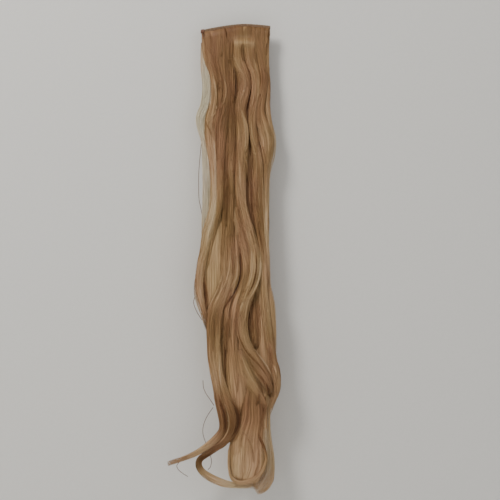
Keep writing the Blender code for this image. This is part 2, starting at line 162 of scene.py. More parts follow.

# The locks: down and across follow a lock's middle line, as for the backing. half is its half
# width in percent of the band's width, out is how far it stands before the middle of the hair in
# percent of HAIR_DEPTH, and tone is 0 for dark brown and 100 for light tan. The tones hold the
# hair's own colour together with painted highlights and painted shade along each lock.
Lock = namedtuple("Lock", "piece strands roundness rows")
LOCKS = {
    "left_light": Lock("hair_left", 110, 0.6, (
        (ROOT, -41, 8, 0, 22), (4, -40, 7.5, 5, 24), (7.5, -37, 6, 9, 30), (10.5, -32, 5, 12, 36),
        (13.6, -30.5, 5, 15, 44), (16.5, -31, 5.5, 18, 46), (20.2, -36.5, 7, 20, 46),
        (24, -36, 7.5, 23, 52), (29, -31.5, 6.5, 24, 60), (33, -29.5, 6, 25, 72), (38, -30, 6.5, 26, 80),
        (41, -33, 7.2, 26, 80), (44.5, -40, 8, 27, 76), (48, -44, 7, 27, 58), (51.5, -48.5, 6.5, 27, 60),
        (55, -51, 5.5, 25, 58), (58, -49.5, 5, 22, 62), (61, -44, 4, 18, 46), (65, -39, 3, 14, 35),
    )),
    "left_oval": Lock("hair_left", 36, 0.2, (
        (39, -24, 4, 6, 30), (42, -25, 8, 12, 44), (45, -27, 12, 15, 58), (50, -29, 14, 16, 60),
        (55, -30, 13.5, 16, 54), (58.5, -32, 11, 13, 44), (62, -33, 6, 8, 35),
    )),
    "left_brown": Lock("hair_left", 130, 0.5, (
        (ROOT, -22, 13, 0, 18), (4, -22, 12.5, 6, 16), (8, -22, 11.5, 12, 14), (11, -19, 10.5, 15, 20),
        (14.5, -16, 10, 18, 25), (17.5, -17, 10, 20, 12), (21, -21, 11, 22, 16), (25, -22, 9, 24, 22),
        (30, -23, 7, 27, 26), (36, -23, 6, 29, 36), (40, -26, 5.5, 29, 32), (44, -32, 4.5, 27, 42),
        (48, -37.5, 3.5, 24, 40), (52, -42, 3, 20, 30),
    )),
    # The row at 3.6 carries a painted highlight, besides the bump's own shading, where the hair bends over
    # the clip's edge
    "sweep": Lock("hair_centre", 170, 0.7, (
        (ROOT, 2, 11.5, 1, 12), (2.4, 2.5, 10.5, 5, 22), (3.6, 3.5, 8.5, 6, 56), (5.5, 4, 8, 10, 28),
        (7.5, 5, 8, 14, 42), (10, 11, 7.5, 18, 38), (12.5, 13.5, 8, 21, 36), (15, 10.5, 8, 23, 36),
        (17.5, 7.5, 7.5, 25, 30), (20, 9, 8, 27, 28), (23, 11, 8.5, 30, 44), (26.5, 10, 8.5, 33, 40),
        (31, 8, 8, 35, 42), (36, 8, 7, 37, 50), (39, 11, 6.5, 38, 42), (42, 16, 6.5, 38, 44),
        (45, 21.5, 7, 38, 52), (48, 26.5, 7.5, 38, 50), (51, 28.5, 8, 38, 66), (54, 26.5, 8, 38, 60),
        (57, 20, 8.5, 39, 50), (60, 13, 9, 39, 46), (63, 9.5, 8.5, 40, 42), (66, 11, 8, 40, 48),
        (69, 17.5, 7.5, 39, 46), (72, 29.5, 7.5, 38, 40), (75, 42, 6.5, 37, 42), (77.5, 50, 5, 34, 40),
        (79.5, 53, 3, 30, 30),
    )),
    # The row at 3.6 carries a painted highlight, besides the bump's own shading, where the hair bends over
    # the clip's edge
    "centre_right": Lock("hair_right", 140, 0.7, (
        (ROOT, 21, 11.5, 0, 12), (2.4, 20.5, 10.5, 4, 24), (3.6, 20, 9, 6, 54), (5.5, 21, 8, 9, 30),
        (7.5, 23, 7.5, 12, 40), (10.5, 28.5, 7, 17, 40), (14, 29.5, 7, 19, 44), (17.5, 26, 6.5, 22, 36),
        (21, 24, 6, 24, 34), (25, 27.5, 6, 27, 36), (28, 32, 6.5, 29, 42), (32, 33, 8, 30, 33),
        (38, 32, 8.5, 31, 24), (44, 36, 6.5, 31, 24), (50, 40, 5.5, 29, 52), (56, 41, 5.5, 27, 52),
        (62, 44, 6.5, 26, 52), (68, 48.5, 6.5, 26, 38), (72, 54, 6, 26, 38), (75.5, 59, 5.5, 27, 48),
        (78, 58.5, 5, 24, 50), (81, 51, 4.5, 19, 52), (85, 42, 3.5, 12, 60),
    )),
    "right": Lock("hair_right", 110, 0.6, (
        (ROOT, 36, 9, 0, 12), (4, 36, 8, 6, 26), (8, 39, 6.5, 11, 28), (11.5, 41.5, 5.5, 15, 16),
        (15, 38, 6, 17, 30), (18, 35.5, 6.5, 19, 26), (21, 39, 8, 21, 44), (24, 43.5, 9, 23, 54),
        (27, 44.5, 7.5, 24, 46), (30, 43, 5, 22, 44), (35, 41.5, 4.8, 22, 58), (42, 41.5, 5.2, 27, 78),
        (50, 43.5, 5, 25, 70), (56, 44, 3, 10, 60),
    )),
    "right_edge": Lock("hair_right", 50, 0.7, (
        (ROOT, 45.5, 4.5, 0, 6), (4, 44.5, 4, 2, 24), (8, 45, 3.5, 2, 40), (13, 46.5, 3, 2, 38),
        (17, 45.5, 4, 2, 46), (20.5, 48, 4.5, 4, 56), (24, 52, 4, 4, 56), (27, 51, 4, 4, 60),
        (30, 47, 3.5, 2, 74), (36, 45, 3, 2, 60), (46, 44.5, 3, 2, 60), (56, 45, 3, 2, 60),
        (62, 50, 3, 0, 60),
    )),
    "tip_outer": Lock("hair_tip", 110, 0.7, (
        (ROOT, -12, 5, 0, 14), (8, -11, 6, 3, 16), (15, -10, 6, 3, 2), (22, -11, 6, 5, 10),
        (30, -12, 7, 7, 10), (40, -13, 6.5, 12, 10), (47, -15, 6, 20, 40), (53, -15, 6.5, 25, 48),
        (56.7, -19, 7, 28, 55), (58.8, -25, 7.5, 29, 50), (61, -31, 7.5, 30, 36), (64, -34, 7.5, 30, 24),
        (67.5, -34, 7, 30, 36), (71, -33, 7, 30, 48), (74, -30, 6.5, 30, 60), (77, -26, 6, 30, 58),
        (80, -23, 6, 31, 32), (83, -18.5, 6, 33, 26), (85, -16.5, 6, 35, 22), (86.6, -18.3, 6, 38, 26),
        (88.0, -25.5, 6, 43, 48), (89.3, -35, 5.6, 49, 60), (90.5, -46, 4.8, 55, 62),
        (91.6, -59, 4.0, 60, 66), (92.5, -73.5, 3.5, 65, 66), (93.2, -88, 3.2, 70, 58),
        (93.6, -96, 3.2, 72, 40),
    )),
    "tip_inner": Lock("hair_tip", 120, 0.7, (
        (ROOT, -7, 6, 0, 14), (8, -6, 6, 4, 16), (15, -4.5, 6, 4, 4), (22, -5.5, 6.5, 6, 10),
        (30, -7, 7, 8, 38), (38, -8, 7, 10, 26), (44, -8, 7, 18, 22), (50, -6.5, 7, 24, 44),
        (54, -9, 8, 28, 54), (57, -15, 7.5, 30, 52), (60, -21.5, 6.5, 31, 42), (63, -25, 5.5, 32, 28),
        (67.5, -26, 5, 32, 46), (71, -24.5, 5, 32, 54), (74, -23, 5, 32, 54), (77, -18, 6, 32, 46),
        (80, -11, 8, 31, 30), (83, -4, 8.5, 31, 16), (85, -2, 8, 32, 12), (86.8, -5, 7.5, 35, 12),
        (88.0, -11, 7.4, 39, 22), (89.3, -21.5, 5.6, 44, 26), (90.5, -35, 4, 50, 22),
        (91.6, -48, 2.6, 58, 26),
    )),
    "centre_thin": Lock("hair_centre", 60, 0.7, (
        (40, -3, 3, 4, 20), (45, -1, 5, 12, 38), (49.5, 1, 4.5, 22, 44), (52.5, 1.5, 5, 25, 48),
        (55, -2, 5.5, 25, 46), (58, -8.5, 5.5, 23, 40), (61, -13, 5, 18, 40), (66, -14, 4, 10, 15),
    )),
    "centre_broad": Lock("hair_centre", 90, 0.6, (
        (34, 2, 4, 6, 35), (40, 3, 6, 8, 34), (44, 6, 7.5, 12, 38), (49, 14, 6, 24, 44),
        (53, 16, 6, 28, 44), (56.5, 10, 6.5, 28, 40), (60, 1.5, 7, 26, 46), (64, -2, 6.5, 22, 38),
        (68, -1.5, 6, 18, 38), (73, 1, 4, 14, 45),
    )),
    "middle": Lock("hair_centre", 60, 0.35, (
        (64, -6, 5, 4, 24), (69, -5, 9.5, 16, 34), (74, -1, 13, 24, 42), (78, 2.5, 14, 26, 48),
        (81, 4.5, 10.5, 24, 40), (84.5, 6, 4, 12, 30),
    )),
    "fan": Lock("hair_centre", 50, 0.4, (
        (69, 6, 4, 18, 38), (73, 12, 8, 25, 46), (75.5, 18, 9.5, 28, 50), (78, 27, 9, 28, 42),
        (80.5, 37, 7, 26, 34), (83, 44, 4, 18, 36),
    )),
    "right_broad": Lock("hair_right", 110, 0.22, (
        (48, 42, 4, 3, 60), (55, 41, 8, 10, 62), (60, 43.5, 12.5, 13, 62), (65, 44.5, 14, 14, 60),
        (70, 45, 12, 13, 50), (74, 46, 10, 10, 40), (79, 45, 6, 8, 30),
    )),
    "lower_right": Lock("hair_curls", 80, 0.4, (
        (74, 27, 9, 8, 40), (78, 25, 14, 16, 30), (81, 24, 17.5, 22, 16), (84, 24, 20, 26, 26),
        (87, 19.5, 23.5, 28, 42), (89, 17, 26, 29, 48), (92, 16.5, 27, 29, 56), (94, 16.5, 26.5, 29, 62),
        (96, 14, 23.5, 29, 66), (97.2, 11, 19, 29, 68), (98, 9, 14, 29, 70),
    )),
    "inner_curl": Lock("hair_curls", 36, 0.3, (
        (84, 7.5, 2, 30, 50), (87.5, 9, 7, 32, 54), (91, 8, 13, 32, 62), (94, 6.5, 14.5, 32, 66),
        (96.3, 7, 12, 31, 70), (97.6, 8, 9, 30, 72),
    )),
    "loop": Lock("hair_curls", 34, 0.9, (
        (80, 46, 2, 30, 30), (83, 41.5, 2, 35, 30), (85.5, 36, 1.9, 38, 30), (87.6, 33.5, 1.9, 40, 6),
        (89.5, 39, 1.9, 41, 4), (91.5, 43.3, 1.9, 43, 30), (93.6, 42.6, 2.1, 45, 54),
        (95.8, 35, 2.5, 46, 58), (97.2, 22, 2.9, 47, 64), (97.7, 8, 3, 47, 64), (97.2, -1.8, 2.5, 45, 66),
        (96, -7.2, 2.0, 43, 66), (94, -9.4, 1.8, 41, 64), (92, -9.4, 1.7, 39, 62),
        (90.2, -8.4, 1.6, 37, 56), (88.8, -6, 1.3, 33, 44),
    )),
    "ring": Lock("hair_curls", 70, 0.6, (
        (84, -2, 4, 10, 10), (88.6, -13, 4, 8, 6), (90.3, -26.5, 3.8, 2, 4), (91.8, -41, 4, -6, -2),
        (92.7, -49.5, 4.5, -12, 2), (94.0, -52, 4.6, -15, 25), (95.4, -47, 4.6, -15, 62),
        (96.5, -37, 5, -12, 72), (97.5, -24, 5.4, -8, 78), (98.2, -10, 4.8, -4, 84), (98.4, 5, 4.4, 0, 88),
        (98.3, 18, 4.8, 6, 90), (98.4, 30, 4.4, 10, 88),
    )),
}
REAR_LOCKS = {
    "left_light": (4, 36), "left_brown": (3, 42), "sweep": (-4, 60), "centre_right": (-5, 52),
    "tip_inner": (6, 42),
}  # how far across each is moved, and its strands
REAR_OUT = 0.7  # how far out they stand, as a share of the front's
REAR_END = 82  # the share of the fall where the back's locks end
BACKING_STRANDS = 195

# Thin sheets of loose hair that the wall shows through
VEILS = {
    "left_veil": Lock("hair_veils", 190, 0.3, (
        (2, -47.5, 1.5, 0, 70), (6, -47, 3, 0, 95), (9, -44, 6, 6, 105), (13, -39.5, 7.5, 12, 115),
        (17, -41.5, 9, 12, 115), (19.5, -48.5, 8.5, 8, 115), (22, -48.5, 6, 6, 115), (25, -43, 5.5, 5, 110),
        (29, -40.5, 7, 4, 120), (33, -39.5, 7.5, 4, 125), (38, -39.5, 8, 3, 125), (42, -42, 6.5, 2, 115),
        (47, -45, 3, 0, 95),
    )),
    "left_tail": Lock("hair_veils", 26, 0.3, (
        (53, -54, 2, 10, 90), (56, -55, 3.5, 12, 100), (59, -53, 3.5, 12, 100), (62, -46.5, 2, 12, 80),
        (65, -41, 1.5, 10, 60),
    )),
    "right_fringe": Lock("hair_veils", 26, 0.3, (
        (20, 50, 2, 0, 70), (24, 55, 3, 0, 80), (28, 53, 3.5, 0, 80), (33, 47, 2, 0, 80),
        (44, 46, 2, 0, 80), (56, 48, 3, 0, 80), (63, 54, 3, 0, 80), (70, 57, 3, 0, 70),
    )),
    "outer_curl": Lock("hair_veils", 190, 0.4, (
        (79, 49, 4, 12, 60), (83, 43.5, 6, 18, 74), (87, 42, 8, 22, 82), (90, 44, 9, 23, 82),
        (93, 45.5, 9.5, 24, 80), (96, 44, 11, 24, 80), (98, 37, 13, 24, 78), (99.2, 33, 8.5, 22, 78),
        (99.7, 29, 5, 20, 78),
    )),
}

# Narrow wisps of strands on top of what lies there. Their tones hold painted highlights along lit
# crests and painted shade in the gaps and hollows between locks, besides the hair's own streaks. A
# row has the half width, the tone as for the locks, and x and y of each point of the middle line.
# Widths and points are in the photograph's pixels.
WISPS = (
    # The fold by the band and the shade beside the clip
    (0.8, -15, 223.5, 25, 225, 28, 226.3, 33, 226.8, 39),
    (3.8, 10, 230.5, 35, 230.5, 43, 230, 54, 230, 66),
    (1.4, -12, 233, 37, 232.5, 46, 231.5, 60),
    (1, 5, 242.5, 41, 241.5, 48, 242, 56, 244, 62),
    (0.8, 0, 254.5, 44, 253.5, 50, 254, 57, 256, 62),
    (1.2, 2, 267.5, 40, 266.5, 47, 266, 56),
    (1.2, 0, 269, 27, 268.8, 33, 268, 40),
    (1, 30, 221.5, 33, 221.5, 45, 222, 60),
    # The left, down to where it turns out
    (1.3, 70, 202.6, 29, 202.8, 38, 203.2, 48, 204.5, 58, 208, 68, 211, 76),
    (3.4, 16, 211, 46, 213, 58, 216, 70, 218.5, 82, 219, 92),
    (1.3, 74, 211, 68, 213.5, 78, 215.5, 90, 216, 99, 218, 108),
    (1, 12, 217, 60, 219, 68, 221.5, 76, 222.5, 86, 222, 96, 220, 104),
    (0.9, 60, 222.5, 68, 224.5, 78, 226, 88, 225.5, 96, 223, 104, 219, 112),
    (0.8, 50, 216, 97, 217, 104, 215, 112, 211, 118, 208, 124),
    (2.2, 20, 219, 106, 215, 113, 213, 120, 213, 130),
    (1.2, 78, 214.8, 122, 214, 134, 214.3, 146, 215.2, 160, 215.5, 176, 215, 192, 213, 208, 210, 220),
    (1, 15, 205.5, 118, 206.5, 124, 210, 131, 212, 138),
    # The dark middle, in painted shade
    (2.2, -45, 232.5, 62, 234.2, 70, 235.3, 78, 235.6, 86, 235, 94, 233, 104),
    (1.2, 0, 232, 104, 233.5, 113, 235, 122, 235.3, 132, 234.8, 142, 233.5, 152),
    (1.6, -10, 224.5, 148, 223.5, 158, 222.8, 170, 223.5, 184, 224.5, 200, 224, 212),
    (2.6, 4, 226, 160, 227, 175, 227.5, 190, 227, 204, 226, 218, 226, 228),
    (1, 30, 229, 120, 230, 132, 229, 145, 227, 156),
    (1, 34, 231, 155, 232, 170, 232, 186, 233, 200),
    (3, 40, 234, 206, 236, 218, 238, 230, 238, 240),
    # The sweep and its neighbours
    (2.4, 46, 233, 52, 235, 60, 239, 68, 243, 76, 244.5, 84, 243, 92, 240.5, 100, 239.5, 108),
    (1.2, 52, 246.5, 82, 245, 88, 242, 95, 240.4, 102, 240.4, 110),
    (2, -35, 243.5, 57, 246, 63, 249, 69, 251, 76, 251, 86, 249.5, 95, 247.8, 105, 246.2, 112, 247, 119),
    (2, 56, 239.5, 104, 241.5, 112, 244.5, 120, 246.2, 128, 246.6, 138, 246, 148, 244, 155),
    (1.3, -30, 247.8, 118, 248.8, 126, 249.4, 136, 249.8, 146, 250.3, 156),
    (1, 68, 251.5, 116, 251.6, 126, 252.4, 136, 255, 145, 258, 153),
    (1.2, 16, 255.5, 124, 257.5, 133, 261, 142, 264, 152, 266.3, 164, 267, 178),
    (1.4, 4, 246.4, 156, 246.2, 166, 247, 176, 249, 186, 250.5, 196),
    (2.8, 8, 250, 178, 251.5, 190, 252, 202, 252.5, 212),
    (0.9, 72, 244.6, 172, 244.8, 188, 245, 200, 246.5, 211, 249.5, 221, 253, 231, 256, 239),
    (1.4, 63, 239.5, 156, 239.5, 170, 240, 184, 240.5, 196),
    (0.9, 44, 258.8, 184, 259, 198, 259.6, 212),
    (1, 66, 262, 160, 262.4, 180, 263, 200, 264, 220, 265.5, 240),
    (1.3, -6, 256, 214, 258.3, 224, 259.8, 234, 261.6, 244, 264, 254),
    (0.9, 30, 251, 160, 253, 172, 254, 186, 256, 200, 256.5, 212),
    (0.8, 10, 250.3, 228, 252.3, 236, 254.5, 245),
    # The nested arcs
    (1.4, -16, 253.5, 242, 255.6, 252, 256.3, 262, 255.6, 273, 253.4, 283, 249.6, 291, 246, 298),
    (1.5, 77, 257.5, 246, 259.6, 256, 260.2, 266, 259, 276, 256, 286, 251.5, 295, 247, 303),
    (1.2, 71, 249.5, 238, 251.3, 250, 252.2, 262, 251.5, 274, 249, 284, 244.5, 292),
    (0.9, 20, 246.8, 240, 248.4, 254, 248.8, 266, 247, 278, 243.5, 288),
    (2.4, -50, 240.4, 238, 240.4, 250, 240, 262, 239.6, 273, 238, 283, 234.5, 291, 230.5, 298, 226, 305,
     222.8, 312),
    (1.2, 72, 236.5, 255, 237.5, 265, 236.8, 275, 233.5, 284, 229, 292),
    (0.9, -10, 231, 246, 232.4, 256, 233, 266, 232.4, 276, 230.5, 284),
    (0.9, 69, 230, 244, 230.6, 254, 229.6, 266, 227.4, 277, 223.5, 287, 219, 296),
    (0.8, 10, 226.4, 234, 227, 246, 227.4, 258, 226.5, 266),
    (1.2, 74, 222.5, 270, 221, 280, 217.5, 290, 213, 299, 208.5, 309, 206.8, 318),
    (1, 40, 213.5, 222, 212.5, 234, 211, 246, 208.8, 258, 206.5, 270, 206, 282),
    (3.2, -30, 204.5, 264, 203.5, 280, 204.3, 291, 205.4, 301, 206, 311),
    # The hollows, in painted shade, and the broad locks below
    (6, 16, 257, 290, 255.4, 304, 255.4, 316, 256.5, 328, 257, 340, 256, 350),
    (3, -20, 254, 294, 252.4, 304, 251.6, 316, 252, 328, 253, 340, 253, 349),
    (1.4, -26, 252.5, 298, 250.3, 307, 248.8, 317, 248.8, 328, 250.5, 338),
    (1.7, -2, 238.4, 314, 237.6, 324, 239, 334, 242.2, 343, 247, 351, 253, 358, 259.5, 365, 265.5, 373,
     270, 382),
    (1, 69, 249, 338, 253, 347, 258.5, 354, 264, 361, 269, 369, 272.6, 378, 274.4, 387),
    (1.3, 72, 245.5, 298, 241.8, 306, 239.8, 316),
    (1.2, 69, 253.5, 288, 249.5, 297, 246.6, 306, 245.2, 316, 245, 326),
    (3.5, -6, 247, 360, 255, 369, 262, 377.5, 267, 386, 269.5, 395),
    (1.7, -24, 264, 378, 267, 385, 269, 392, 270, 398),
    (0.9, -6, 271.6, 372, 274.6, 380, 276, 388, 276, 395),
    (1.2, 72, 273, 362, 275.6, 370, 277.4, 379),
    (0.8, 5, 272, 352, 276.5, 361, 279.6, 371, 280.8, 381),
    (2.6, 10, 268, 340, 270.5, 350, 271.5, 360, 272, 370),
    (1.3, 6, 259.5, 389, 259, 394, 257.8, 400, 256.6, 405),
    (0.8, 16, 266, 402, 264.5, 410, 262, 418, 260, 427),
    (2.4, 74, 266, 404, 265.4, 414, 264.6, 424, 266, 434, 269, 444, 270.6, 456),
    (1, 14, 215.8, 308, 214.2, 318, 213.6, 330, 213, 343, 213.4, 353),
    (1.3, -4, 222.6, 308, 221.4, 318, 221.2, 330, 222, 340),
    (2.2, -36, 223.8, 326, 224.8, 338, 225.4, 350, 225.6, 362, 225.4, 374, 225.2, 388),
    (2.4, 12, 230.5, 304, 229, 314, 227.4, 324, 226.4, 334, 226.6, 344, 227.4, 354),
    (0.9, 66, 241, 352, 243.4, 360, 247, 369, 252.4, 379, 259, 389, 266, 399),
    (0.8, 77, 219.2, 348, 219.4, 360, 219.8, 372, 221.4, 384, 222.4, 394),
    (0.9, 26, 238.6, 372, 237.8, 382, 237, 392),
    # The tip's streaks of painted shade and the painted highlights between them
    (2.7, -24, 217.5, 392, 220.5, 402, 223.6, 411, 225.2, 420, 225, 429, 222, 436),
    (1.1, 68, 221.8, 392, 224.4, 401, 227.2, 409, 228.8, 418, 228.6, 427, 225.4, 435, 219.8, 441.5,
     213, 446),
    (3, -30, 230, 396, 234.4, 405, 237.6, 414, 237.6, 423, 235, 431, 230.8, 438),
    (2.6, 12, 240.5, 424, 237.5, 432, 234, 438, 230.5, 442),
    (1.5, -6, 229, 439, 223.5, 443.5, 217, 447.5, 209.5, 451.5, 203.5, 455),
    (1, 74, 217, 439, 210, 443.5, 202, 447.5, 192, 452, 182, 456.5),
    (0.8, 40, 241.5, 426, 245.5, 434, 250, 442, 252.8, 451, 253.6, 462),
    (1, 30, 256.5, 440, 258, 452, 257.5, 464, 254, 474),
    (0.7, 30, 268.4, 440, 271.6, 452, 273.4, 466, 273.4, 478, 270, 486),
)
WISP_DEPTH = 0.0003
WISP_CLEAR = 0.0004  # how far a wisp stands off what it lies on
WISP_COVER = 0.00020  # width for each of a wisp's strands
WISP_RAGGED = 0.3
WISP_FEWEST = 4  # strands
BOW_START, BOW_POWER = 0.02, 0.7  # how a wisp widens from its ends
GROUND_MEAN = 7  # how many points of what a wisp lies on are averaged
LINE_STEPS = 5  # points added for each point of a line read from the photograph

# Single hairs that stand off, by the photograph's pixels
STRAY_HAIRS = (
    ((213, 407), (207, 416), (203.5, 425), (203, 433), (205, 440), (207, 446), (210, 454),
     (211.5, 460), (210.5, 466), (208, 469)),
    ((203, 380), (203.5, 387), (206, 393), (210, 399), (214, 405)),
    ((184, 458), (180, 461), (177, 465), (178.5, 469), (183, 473), (188, 476)),
    ((203, 132), (201, 145), (199.5, 160), (198.5, 175), (198.5, 190), (199, 200), (201, 210),
     (202.5, 220)),
    ((201, 42), (200.6, 55), (202, 68), (203.6, 80), (203.8, 92), (202, 101)),
    ((196, 274), (194.4, 284), (194.4, 294), (196.6, 303), (200, 311), (204, 318)),
    ((195, 296), (193.6, 303), (197, 312), (202, 320)),
)

# The loose ends of the thread that is wound round the band's left end, in the same pixels
THREAD_ENDS = (
    ((201.8, 31), (201.4, 33), (202.2, 35.5), (203.4, 38)),
    ((203.2, 31), (203.8, 33), (203.4, 35), (202.4, 36.8)),
    ((202.6, 31), (202.8, 33.5), (203.0, 36)),
)
THREAD_OUT = 0.0023  # how far the loose ends stand before the band's middle
THREAD_WIDTH = 0.0006
THREAD_TONE = 0.5
THREAD_SIDES, TURN_POINTS = 6, 12
THREAD_SQUARE = 0.6  # makes each turn follow the band's flat sides
STITCHES, KNOT_TURNS = 42, 7
STITCH_WIDTH = 0.0005
STITCH_RISE, KNOT_RISE = 0.0001, 0.0006  # how far a thread's middle lies off the band
STITCH_END, KNOT_END = 0.001, 0.0004  # how far inside the band's ends the turns stay


class Value:
    """A value in a material. Plain arithmetic on it adds the maths to the material."""

    def __init__(self, recipe, socket):
        self.recipe = recipe
        self.socket = socket

    def maths(self, operation, first, second):
        return self.recipe.node("ShaderNodeMath", {"operation": operation}, {0: first, 1: second})

    def __add__(self, other):
        return self.maths("ADD", self, other)

    def __radd__(self, other):
        return self.maths("ADD", other, self)

    def __sub__(self, other):
        return self.maths("SUBTRACT", self, other)

    def __rsub__(self, other):
        return self.maths("SUBTRACT", other, self)

    def __mul__(self, other):
        return self.maths("MULTIPLY", self, other)

    def __rmul__(self, other):
        return self.maths("MULTIPLY", other, self)


class Recipe:
    """One material and its nodes."""

    def __init__(self, name):
        self.material = bpy.data.materials.new(name)
        self.material.use_nodes = True
        self.tree = self.material.node_tree
        self.shader = self.tree.nodes["Principled BSDF"]

    def node(self, kind, settings=None, inputs=None, output=0):
        made = self.tree.nodes.new(kind)
        for key, value in (settings or {}).items():
            if key == "stops":
                self.set_stops(made.color_ramp, value)
            else:
                setattr(made, key, value)
        for key, value in (inputs or {}).items():
            self.feed(made.inputs[key], value)
        return Value(self, made.outputs[output])

    def set_stops(self, ramp, stops):
        while len(ramp.elements) < len(stops):
            ramp.elements.new(0.5)
        for element, (position, colour) in zip(ramp.elements, stops):
            element.position = position
            element.color = colour

    def feed(self, socket, value):
        if isinstance(value, Value):
            self.tree.links.new(value.socket, socket)
        else:
            socket.default_value = value

    def finish(self, **values):
        """Sets the shader's sockets, named as on the shader with _ for a space."""
        for name, value in values.items():
            self.feed(self.shader.inputs[name.replace("_", " ")], value)
        return self.material

    def blend(self, share, first, second):
        """A colour from first, at share 0, to second, at share 1."""
        inputs = {"Factor": share, 6: first, 7: second}
        return self.node("ShaderNodeMix", {"data_type": "RGBA"}, inputs, output=2)

    def ramp(self, value, stops):
        return self.node("ShaderNodeValToRGB", {"stops": stops}, {0: value})

    def noise(self, place, scale, detail=2.0):
        return self.node(
            "ShaderNodeTexNoise", {}, {"Vector": place, "Scale": scale, "Detail": detail},
        )

    def attribute(self, name):
        return self.node("ShaderNodeAttribute", {"attribute_name": name}, output="Fac")

    def place(self, stretch=(1, 1, 1)):
        """The point on the object, stretched by so much along x, y and z."""
        point = self.node("ShaderNodeTexCoord", output="Object")
        return self.node(
            "ShaderNodeVectorMath", {"operation": "MULTIPLY"}, {0: point, 1: stretch},
        )

    def bump(self, height, strength, distance):
        return self.node(
            "ShaderNodeBump", {}, {"Height": height, "Strength": strength, "Distance": distance},
        )


def combed_hair():
    """Hair from nearly black to light tan by each strand's tone, which holds painted highlights and painted
    shade besides the hair's own colour, with streaks along it.
    """
    recipe = Recipe("combed_hair")
    tone = recipe.attribute("tone")
    streak_place = recipe.node(
        "ShaderNodeCombineXYZ", {}, {0: recipe.attribute("across") * 0.7, 1: recipe.attribute("along") * 9},
    )
    streak = recipe.noise(streak_place, 1.0, 3.0)
    patch = recipe.noise(recipe.place((1, 1, 0.5)), 45)
    varied = tone + (streak - 0.5) * STREAKS + (patch - 0.5) * PATCHES
    shade = varied * TONE_RANGE + TONE_START
    red, olive = (
        recipe.ramp(shade, [(at, (*colour, 1)) for at, colour in zip(SHADES, colours)])
        for colours in (RED_HAIR, OLIVE_HAIR)
    )
    drift = recipe.noise(recipe.place((1, 1, 0.35)), 38)
    colour = recipe.blend((drift - 0.5) * 3.0 + 0.5, red, olive)
    roughness = 0.50 + (streak - 0.5) * 0.2
    normal = recipe.bump(streak, 0.35, 0.0004)
    return recipe.finish(Base_Color=colour, Roughness=roughness, IOR=1.4, Specular_IOR_Level=0.35,
                         Normal=normal)


def sewn_band():
    """Hair folded flat and sewn down: fine upright ribs in warm brown."""
    recipe = Recipe("sewn_band")
    ribs = recipe.noise(recipe.place((1, 1, 0.08)), 1800, 3.0)
    patch = recipe.noise(recipe.place(), 120)
    shade = ribs * 0.7 + patch * 0.3
    colour = recipe.ramp(shade, (
        (0.3, (0.118, 0.068, 0.030, 1)),
        (0.7, (0.260, 0.170, 0.086, 1)),
    ))
    normal = recipe.bump(ribs, 0.6, 0.0004)
    return recipe.finish(Base_Color=colour, Roughness=0.55 + ribs * 0.2, Normal=normal)


def dark_thread():
    """Dark red-brown sewing thread with fine fibres, a little lighter towards its end."""
    recipe = Recipe("dark_thread")
    fibre = recipe.noise(recipe.place(), 2500)
    shade = fibre * 0.8 + recipe.attribute("along") * 0.2
    colour = recipe.ramp(shade, ((0.25, (0.120, 0.045, 0.025, 1)), (0.75, (0.34, 0.165, 0.095, 1))))
    normal = recipe.bump(fibre, 0.4, 0.0002)
    return recipe.finish(Base_Color=colour, Roughness=0.7 + fibre * 0.1, Normal=normal)


def clip_enamel():
    """Brown enamel on pressed steel, rubbed a little lighter in places."""
    recipe = Recipe("clip_enamel")
    speckle = recipe.noise(recipe.place(), 700)
    rub = recipe.noise(recipe.place(), 60, 4.0)
    colour = recipe.ramp(rub, (
        (0.35, (0.060, 0.034, 0.020, 1)),
        (0.75, (0.150, 0.092, 0.056, 1)),
    ))
    normal = recipe.bump(speckle, 0.12, 0.0001)
    roughness = 0.30 + rub * 0.22
    return recipe.finish(Base_Color=colour, Roughness=roughness, Metallic=0.35, Normal=normal)


def plain_wall():
    """A pale painted wall, clear from behind so that the back of the hair can be looked at."""
    recipe = Recipe("plain_wall")
    grain = recipe.noise(recipe.place(), 260, 3.0)
    colour = recipe.ramp(grain, (
        (0.3, (0.790, 0.772, 0.728, 1)),
        (0.7, (0.806, 0.788, 0.744, 1)),
    ))
    recipe.finish(Base_Color=colour, Roughness=0.9, Specular_IOR_Level=0.1)
    behind = recipe.node("ShaderNodeNewGeometry", output="Backfacing")
    clear = recipe.node("ShaderNodeBsdfTransparent")
    painted = Value(recipe, recipe.shader.outputs[0])
    shown = recipe.node("ShaderNodeMixShader", {}, {0: behind, 1: painted, 2: clear})
    recipe.feed(recipe.tree.nodes["Material Output"].inputs["Surface"], shown)
    return recipe.material


def pale_floor():
    recipe = Recipe("pale_floor")
    grain = recipe.noise(recipe.place(), 90, 3.0)
    colour = recipe.ramp(grain, (
        (0.3, (0.720, 0.710, 0.690, 1)),
        (0.7, (0.750, 0.740, 0.720, 1)),
    ))
    return recipe.finish(Base_Color=colour, Roughness=0.85)


def smooth_step(t):
    """0 before t = 0, 1 past t = 1, and a soft S between them."""
    t = np.clip(t, 0, 1)
    return t * t * (3 - 2 * t)


def arch_drop(x):
    """How far the band's top lies under its highest point, which is over the clip's middle."""
    left = BAND_LEFT_DROP * (np.minimum(x, 0) / BAND_LEFT) ** ARCH_POWER
    right = BAND_RIGHT_DROP * (np.maximum(x, 0) / BAND_RIGHT) ** ARCH_POWER
    return left + right


def clip_bump(x, z):
    """How far the hair stands forward of its plain course over the clip's lower edge."""
    across = 1 - smooth_step((abs(x) - CLIP_HIGH.x + 2 * BUMP_SPREAD) / (3 * BUMP_SPREAD))
    return CLIP_BUMP * across * np.exp(-(((z - CLIP_LOW.z + BUMP_DROP) / BUMP_SPREAD) ** 2))


